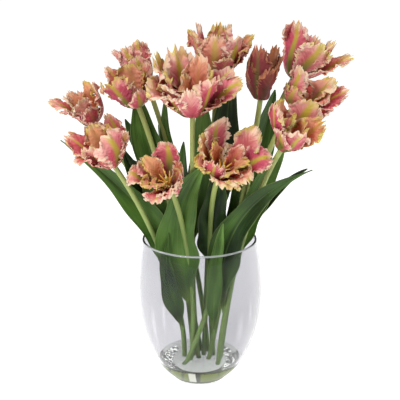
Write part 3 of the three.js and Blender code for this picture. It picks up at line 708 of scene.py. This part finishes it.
def glass_finish(name):
    """Clear glass, a little greyer at its back, with painted highlights streaking lighter down its
    sides and a painted highlight along its rim in front. To both sides the thick corner of its
    floor is uneven and has painted glints and dark painted reflections on it. In front a band round
    its base is painted with the green of the stems seen through the glass, with a pale gap. Places
    are in metres."""
    f = Finish(name)
    palette = glass_palette
    x, y, z = f.place()
    radius = (x * x + y * y) ** 0.5
    ripples = f.grain(x * 20, y * 20, z * 12, 1)
    uneven = f.grain(x * 220, y * 220, z * 220)
    glint_noise = f.grain(x * 210, y * 210, z * 210)
    blocks = f.grain(x * 110, z * 5, 2.6, 0)

    # Painted highlights: the glass tint is lighter along these streaks
    painted_highlights = 0
    for degrees, low, high, width in light_streaks:
        east, north = math.cos(math.radians(degrees)), math.sin(math.radians(degrees))
        off_line = abs(x * north - y * east + (ripples - 0.5) * 0.006).fall(0, width)
        on_side = (x * east + y * north).rise(0.02, 0.04)
        at_height = abs(z - (low + high) / 2).fall(0, (high - low) / 2)
        painted_highlights = (off_line * on_side * at_height).most(painted_highlights)

    # Painted glints and dark painted reflections, mottled over the thick corner of the floor at
    # both sides
    above_floor, past_flat = z.rise(0.0138, 0.0148), radius.rise(0.036, 0.04)
    before_wall, at_sides = radius.fall(0.05, 0.053), abs(x).rise(0.026, 0.036)
    corner = above_floor * past_flat * before_wall * at_sides
    painted_glints = glint_noise.rise(0.52, 0.57)
    painted_dark_reflections = glint_noise.rise(0.49, 0.42) * 0.7

    # Painted refraction: in front, a band round the base is painted with the green of the stems
    # seen through the glass
    off_ground, in_front = z.rise(0.0004, 0.001), y.fall(-0.034, -0.024)
    below_water = (z + (ripples - 0.5) * 0.004).fall(0.026, 0.028)
    past_foot = radius.rise(0.034, 0.036)
    outer_side = (radius - z * 0.9).rise(0.03, 0.033)
    painted_stem_band = off_ground * below_water * in_front * past_foot * outer_side
    gap = abs(x + 0.008 + z * 0.1).fall(0.004, 0.0055)

    # Painted highlight along the front of the rim
    rim = z.rise(0.1995, 0.2005) * y.fall(-0.03, 0) * radius.fall(0.0755, 0.0765)

    colour = f.blend(palette.front, palette.back, y.rise(-0.06, 0.06))
    # palette.streak is the colour of the painted highlights
    colour = f.blend(colour, palette.streak, painted_highlights * 0.9)
    # The painted green of the stems, broken by a painted pale gap and painted darker towards the
    # foot of the glass
    green = f.blend(palette.green_deep, palette.green_light, blocks.rise(0.42, 0.56))
    green = f.blend(green, palette.gap, gap)
    green = f.blend(green, palette.foot, z.fall(0.005, 0.008))
    painted_light = f.blend(green, f.blend(palette.spark_deep, white, painted_glints), corner)
    painted_light = f.blend(painted_light, palette.rim, rim)
    share = (painted_stem_band * 0.8).most(corner * painted_glints.most(painted_dark_reflections)).most(rim * 0.6)
    # The painted glints glow white
    painted_glow = f.blend(black, white, painted_glints * corner)
    relief = f.bump(ripples * 0.3 + uneven * corner * 8, 0.3, 0.3)
    return f.clear(colour, palette.shade, painted_light, share, painted_glow, IOR=1.45, Normal=relief,
                   Specular_Tint=(0.2, 0.2, 0.2, 1))


def water_finish(name):
    f = Finish(name)
    x, y, z = f.place()
    ripples = f.grain(x * 30, y * 30, z * 30, 1)
    return f.clear(water_tint, water_tint, IOR=1.33, Normal=f.bump(ripples, 0.2, 0.1))


def floor_finish(name):
    f = Finish(name)
    x, y, z = f.place()
    grain = f.grain(x * 40, y * 40, z, 3)
    colour = f.blend(tint(244, 244, 244), tint(250, 250, 250), grain)
    return f.surface(Base_Color=colour, Roughness=0.7, Emission_Color=white,
                     Emission_Strength=0.75)


finishes = dict(
    petals=[petal_finish("petal_outside", rose_palette, False),
            petal_finish("petal_inside", rose_palette, True)],
    petals_dark=[petal_finish("dark_petal_outside", dark_palette, False),
                 petal_finish("dark_petal_inside", dark_palette, True)],
    leaf=leaf_finish("leaf"), stalk=stalk_finish("stalk"),
    stamen=grainy_finish("stamen", tint(232, 158, 52), tint(252, 214, 104), 500, 3, 0.15, 0.5),
    pistil=grainy_finish("pistil", tint(170, 160, 70), tint(220, 206, 130), 300, 2, 0.2, 0.45),
    glass=glass_finish("clear_glass"), water=water_finish("clear_water"),
    floor=floor_finish("pale_floor"))


# Vase and water

def outer_radius(z):
    reach = lower_reach if z < belly_height else upper_reach
    drawn_in = foot_draw * max(0, 1 - z / foot_draw_height) ** 1.5
    return belly_radius * math.sqrt(1 - ((z - belly_height) / reach) ** 2) - drawn_in


def inner_radius(z):
    slope = outer_radius(z + 0.5) - outer_radius(z - 0.5)
    return outer_radius(z) - glass_wall * math.sqrt(1 + slope * slope)


def vase():
    edge = glass_wall / 2
    top = vase_height - edge
    middle = (outer_radius(top) + inner_radius(top)) / 2
    half = (outer_radius(top) - inner_radius(top)) / 2
    profile = [(foot_radius - 4, 0), (foot_radius - 1.5, 0.4), (outer_radius(3), 2.4)]
    profile += [(outer_radius(z), z) for z in range(5, vase_height - 1, ring_step)]
    for step in range(lip_steps + 1):
        angle = math.pi * step / lip_steps
        profile.append((middle + half * math.cos(angle), top + edge * math.sin(angle)))
    profile += [(inner_radius(z), z) for z in range(vase_height - 3, corner_top + 3, -ring_step)]
    profile += [(inner_radius(corner_top), corner_top), *reversed(floor_corner),
                (centre_radius, glass_floor)]
    piece = turned("glass_vase", profile, finishes["glass"])
    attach(piece, "root")
    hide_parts("vase")


def water():
    edge = water_level + meniscus_rise
    profile = [(radius, height - water_bite) for radius, height in floor_corner]
    profile += [(inner_radius(corner_top) + water_bite, corner_top),
                (inner_radius(edge) + water_bite, edge),
                (inner_radius(water_level) - meniscus_width, water_level),
                (centre_radius, water_level - water_bite)]
    piece = turned("still_water", profile, finishes["water"])
    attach(piece, "root")
    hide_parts("water")


# Stems and leaves

def stem_line(flower):
    """The four points that pull a stem's curve"""
    low = np.array(flower.low)
    foot = np.array([*flower.foot, glass_floor], float)
    lead = unit(low - foot)
    foot[2] += foot_gap + stem_radius * math.hypot(lead[0], lead[1])
    top = np.array(flower.base)
    high = top - unit(flower.axis) * flower.neck
    return foot, low, high, top


def leaf_form(along, across, leaf, line):
    """Where a leaf's points go: beside a spine that starts inside the stem"""
    on_stem, lead = (part[0] for part in bezier(line, np.array([leaf.at])))
    bend = np.array(leaf.bend)
    side = bend - on_stem
    side = unit(side - lead * (side @ lead))
    root = on_stem + side * stem_radius * leaf_sink
    spine = (root, leaf.low, bend, leaf.tip)
    face = unit(leaf.face)

    place, way = bezier(spine, along)
    over = unit(np.cross(way, face))
    normal = unit(np.cross(over, way))
    size = np.abs(across)
    turn = leaf.phase + np.where(across > 0, leaf_wave_turn, 0)
    swell = np.maximum(np.sin(np.pi * along**0.8), 0) ** leaf.tip_form
    swell *= smooth(along, -0.15, 0.4)
    outline = 1 + leaf_outline * size * waves(leaf_outline_waves * along + turn + 0.4)
    rest = mix(leaf_root_half, leaf_tip_half, along)
    half = np.maximum(rest, leaf.width / 2 * swell * outline)
    wave = leaf.wave * waves(leaf_waves * along + turn) * size**1.4
    flutter = waves(leaf_flutter_waves * along + 4 * turn) * leaf_flutter
    flutter *= leaf.wave * size**3
    rise = half * leaf_channel * (0.6 * size + 0.4 * size**2)
    rise += (wave * np.sqrt(along) + flutter) * np.minimum(1, half / 10)
    rise -= leaf_midrib_depth * np.exp(-((across / leaf_midrib_width) ** 2))
    twist = math.radians(leaf.twist) * along
    sideways = half * across * np.cos(twist) - rise * np.sin(twist)
    lifted = half * across * np.sin(twist) + rise * np.cos(twist)
    return place + over * sideways[:, None] + normal * lifted[:, None]


def leafy_stem(flower, leaf_blank):
    line = stem_line(flower)
    foot, low, high, top = line
    sheets = [marked(shaped(leaf_blank, leaf_form, leaf, line), leaf=leaf.phase * 7.3 % 1)
              for leaf in leaves if leaf.on == flower.name]
    blades = joined("blades", sheets)
    thickened(blades, leaf_thickness)
    wear(blades, finishes["stalk"], finishes["leaf"])
    blades.data.polygons.foreach_set("material_index", [1] * len(blades.data.polygons))
    stalk = rod(line, (2 * foot - low, 2 * top - high), (stem_radius, stem_radius), 40, 5,
                finishes["stalk"], finishes["leaf"])
    piece = joined(f"leafy_stem_{flower.name}", [stalk, blades])
    smoothed(piece)
    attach(piece, "root")
    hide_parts(f"stem_{flower.name}")


# Blooms

# Where a bloom sits, the way it opens and its two sides, and its middle
Seat = namedtuple("Seat", "base axis side back centre")


def bloom_seat(flower):
    base = np.array(flower.base)
    axis = unit(flower.axis)
    side = unit(np.cross((0, 1, 0), axis))
    return Seat(base, axis, side, np.cross(axis, side), base + axis * flower.height * 0.55)


def walls_of(flower):
    """The planes between a bloom and its neighbours"""
    own = bloom_seat(flower)
    walls = []
    for other in flowers:
        if other is not flower:
            offset = bloom_seat(other).centre - own.centre
            gap = np.linalg.norm(offset)
            share = flower.reach / (flower.reach + other.reach)
            walls.append((offset / gap, gap * share - press_gap))
    return walls


def pressed(points, walls, seat):
    """Points that come too near a neighbouring bloom are held back on their own side"""
    free = smooth(np.linalg.norm(points - seat.base, axis=1), press_start, press_full)
    for way, distance in walls:
        over = np.maximum((points - seat.centre) @ way - distance + press_depth, 0)
        held = press_depth * (1 - np.exp(-over / press_depth))
        points = points - (free * (over - held))[:, None] * way
    return points


def lobed_side(draw):
    """One edge of a petal, row by row: how deep it is cut, as a share of its half width, and how
    far each lobe lifts or drops"""
    cut, lift = np.zeros(petal_rows + spare), np.zeros(petal_rows + spare)
    row = int(petal_rows * mix(*lobe_start, next(draw)))
    turn = 1 if next(draw) > 0.5 else -1
    while row < petal_rows:
        length = 7 + int(8 * next(draw))
        notch = mix(*lobe_notch, next(draw))
        height = mix(*lobe_lift, next(draw)) * turn
        tooth = 0
        for step in range(length):
            share = step / length
            if tooth == 0:
                tooth = size = 2 + int(2.5 * next(draw))
                depth = mix(*tooth_depth, next(draw))
            cut[row + step] = notch * (1 - share) ** 2 + depth * tooth / size
            lift[row + step] = height * math.sin(math.pi * share)
            tooth -= 1
        row += length
        turn = -turn
    return cut[:petal_rows + 1], lift[:petal_rows + 1]


def lobed_tip(draw):
    """How far short of the tip each column of a petal ends, as a share of its length"""
    short = np.zeros(petal_columns + spare)
    column = 0
    while column <= petal_columns:
        length = 2 + int(3 * next(draw))
        depth = mix(*tip_tooth_depth, next(draw))
        for step in range(length):
            short[column + step] = depth * abs(2 * step / length - 1)
        column += length
    return short[:petal_columns + 1]


def petal_form(along, across, petal, seat, walls, draw):
    """Where a petal's points go: beside a spine that climbs from its seat and leans outward"""
    offset = np.array(petal.tip) - seat.base
    rise = offset @ seat.axis
    outward = offset - seat.axis * rise
    reach = np.linalg.norm(outward)
    outward /= reach
    sideways = np.cross(seat.axis, outward)
    out, up = inner_root if petal.inner else outer_root
    lean = math.radians(petal.lean)
    curl = petal_curl * math.hypot(reach, rise)
    belly = 6 + 0.42 * reach
    spine = ((out, up), (out + belly, up + belly * 0.2),
             (reach - curl * math.sin(lean), rise - curl * math.cos(lean)), (reach, rise))
    rows, columns = np.arange(petal_rows + 1), np.arange(petal_columns + 1)
    sides = {side: lobed_side(draw) for side in (-1, 1)}
    swings = {side: [next(draw) for _ in range(5)] for side in (-1, 1)}
    short = lobed_tip(draw)
    phase, flop = next(draw), next(draw)

    size = np.abs(across)
    scale = petal.width / common_width

    # Along the spine, shorter at the corners of the tip and between its teeth
    column = (across + 1) / 2 * petal_columns
    length = along * (1 - tip_rounding * size**2.4 * smooth(along, 0.4, 1))
    length -= np.interp(column, columns, short) * smooth(along, 0.7, 1)
    spot, way = bezier(spine, length)

    # Across it, as wide as its place in the whorl leaves room for, and cupped
    swell = np.sin(np.pi * (0.03 + 0.87 * along) ** 1.35) ** 0.55
    cup = mix(cup_at_root, cup_at_tip, along)
    room = spot[:, 0] * sector_share * cup / (np.sin(cup) + sector_share * (1 - np.cos(cup)))
    room = np.maximum(room, 3 + spot[:, 1] * 0.5)
    half = np.minimum(petal.width / 2 * 1.12 * swell, room)
    half = np.maximum(petal_root_half, half)
    row = along * petal_rows
    bite, lift = (np.where(across < 0, np.interp(row, rows, sides[-1][part]),
                           np.interp(row, rows, sides[1][part])) for part in (0, 1))
    angle = across * cup * (1 - bite * smooth(size, 0.45, 1))
    sideways_by = half * np.sin(angle) / cup
    curl_in = half * (1 - np.cos(angle)) / cup

    # Lobes, waves, pleats, midrib and frills, as heights over the blade
    lifted = np.minimum(curl_in, np.maximum(0, spot[:, 0] - clear_radius) * across**2)
    lifted += scale * lift * size**2.2 * smooth(along, 0.25, 0.6)
    for side, (count, start, fine, roll, swollen) in swings.items():
        here = (across * side > 0) * scale
        swing = waves(mix(*wave_count, count) * along + start)
        flutter = waves(flutter_count * (along - 0.3 * size) + fine)
        lifted += here * smooth(along, 0.2, 0.75) * (
            wave_height * size**2 * swing + flutter_height * size**1.5 * flutter
            + mix(*bulge, swollen) * size)
        lifted -= here * mix(*edge_roll, roll) * smooth(size, 0.55, 1) ** 2 * along
    pleat = waves(pleat_count * (along - 0.34 * size) + phase + 0.6 * np.sin(9 * across))
    pleat = pleat_height * pleat * smooth(size, 0.12, 0.7) * smooth(along, 0, 0.4)
    lifted += pleat * scale
    lifted -= midrib_depth * np.exp(-((across / midrib_width) ** 2)) * (1 - along)
    frill = frill_height * waves(frill_count * across + phase) - mix(*tip_flop, flop)
    lifted += scale * frill * smooth(along, 0.66, 1) ** 1.5

    # Each petal laps over the next
    turn = np.radians(petal_overlap + petal.roll * along)
    over = sideways_by * np.cos(turn) - lifted * np.sin(turn)
    lifted = sideways_by * np.sin(turn) + lifted * np.cos(turn)
    far = spot[:, 0] - way[:, 1] * lifted
    high = spot[:, 1] + way[:, 0] * lifted
    points = (seat.base + far[:, None] * outward + high[:, None] * seat.axis
              + over[:, None] * sideways)
    return pressed(points, walls, seat)


def bloom_cup(seat):
    """The small green seat that the petals grow from"""
    half = seat_height / 2
    bpy.ops.mesh.primitive_uv_sphere_add(segments=20, ring_count=12, radius=seat_radius * mm)
    cup = bpy.context.object
    cup.scale = (1, 1, half / seat_radius)
    cup.rotation_mode = "QUATERNION"
    cup.rotation_quaternion = Vector(seat.axis).to_track_quat("Z", "Y")
    cup.location = (seat.base + seat.axis * (seat_gap + half)) * mm
    bpy.ops.object.transform_apply(location=True, rotation=True, scale=True)
    wear(cup, finishes["pistil"])
    return cup


def bloom(flower, petal_blank):
    seat = bloom_seat(flower)
    walls = walls_of(flower)
    draw = draws(flower.seed * 101 + 7)
    colours = "petals_dark" if flower.dark else "petals"
    sheets = []
    for petal in flower.petals:
        sheet = shaped(petal_blank, petal_form, petal, seat, walls, draw)
        stripe = petal.stripe * (inner_stripe if petal.inner else 1)
        sheets.append(marked(sheet, petal=next(draw), warm=petal.warm, yellow=petal.yellow,
                             stripe=stripe, pale=petal.pale))
    piece = joined(f"tulip_{flower.name}", sheets)
    wear(piece, *finishes[colours])
    thickened(piece, petal_thickness, inside=1)
    piece = joined(piece.name, [piece, bloom_cup(seat)])
    smoothed(piece, 70)
    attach(piece, "root")
    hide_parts(f"bloom_{flower.name}")


# Pistil and stamens

def spike(start, way, bend, length, radii, finish):
    """A thin curved point"""
    end = start + way * length + bend * length * 0.3
    points = (start, start + way * length * 0.5,
              end - bend * length * 0.35 - way * length * 0.25, end)
    beyond = (start - way * length * 0.5, end + way * length * 0.2)
    return rod(points, beyond, radii, 7, 2, finish)


def stamens(flower):
    seat = bloom_seat(flower)
    draw = draws(flower.seed * 31 + 3)
    foot = seat.base + seat.axis * (seat_height + seat_gap)
    pieces = [spike(foot, seat.axis, seat.side * 0, pistil_length, (2.4, 1.9),
                    finishes["pistil"])]
    for i in range(stamen_count):
        angle = 2 * math.pi * (i + 0.5) / stamen_count
        outward = seat.side * math.cos(angle) + seat.back * math.sin(angle)
        way = unit(seat.axis + outward * flower.spread * mix(0.7, 1.15, next(draw)))
        bend = outward * mix(-0.4, 0.5, next(draw))
        length = mix(*stamen_length, next(draw)) * (1 + 0.5 * flower.spread)
        pieces.append(spike(foot + seat.axis * 0.7 + outward * 1.2, way, bend, length,
                            (1.5, 0.5), finishes["stamen"]))
    piece = joined(f"stamens_of_{flower.name}", pieces)
    smoothed(piece)
    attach(piece, "root")
    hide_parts(f"stamens_{flower.name}")


vase()
water()
leaf_blank = flat_blank(leaf_columns, leaf_rows)
petal_blank = flat_blank(petal_columns, petal_rows)
for flower in flowers:
    leafy_stem(flower, leaf_blank)
    bloom(flower, petal_blank)
    stamens(flower)
bpy.data.objects.remove(leaf_blank)
bpy.data.objects.remove(petal_blank)


# Floor, lights and camera, in metres

floor_size = 12
floor_drop = 0.0005
sky_strength = 0.3
sensor_width = 36
focal_pixels = 966
frame_pixels = 400
camera_place = (0.00065, -1.245, 0.634)
camera_tilt = 90 - 16.9


def floor():
    bpy.ops.mesh.primitive_plane_add(size=floor_size, location=(0, 0, -floor_drop))
    ground = bpy.context.object
    ground.name = "pale_floor"
    wear(ground, finishes["floor"])


def soft_light(name, place, target, size, power):
    bpy.ops.object.light_add(type="AREA", location=place)
    lamp = bpy.context.object
    lamp.name = name
    lamp.data.shape = "RECTANGLE"
    lamp.data.size, lamp.data.size_y = size
    lamp.data.energy = power
    lamp.rotation_euler = (Vector(target) - Vector(place)).to_track_quat("-Z", "Y").to_euler()


def room():
    world = bpy.data.worlds.new("studio")
    bpy.context.scene.world = world
    world.use_nodes = True
    sky = world.node_tree.nodes["Background"]
    sky.inputs["Color"].default_value = white
    sky.inputs["Strength"].default_value = sky_strength
    soft_light("key", (-1.3, -1.5, 2.0), target=(0, 0, 0.3), size=(0.8, 1.2), power=51)
    soft_light("fill", (1.7, -0.9, 1.2), target=(0, 0, 0.25), size=(0.4, 1.4), power=13)


def camera():
    lens = bpy.data.cameras.new("camera")
    eye = bpy.data.objects.new("camera", lens)
    bpy.context.scene.collection.objects.link(eye)
    lens.sensor_width = sensor_width
    lens.lens = focal_pixels / frame_pixels * sensor_width
    eye.location = camera_place
    eye.rotation_euler = (math.radians(camera_tilt), 0, 0)
    bpy.context.scene.camera = eye
    bpy.context.scene.view_settings.view_transform = "Standard"


floor()
room()
camera()
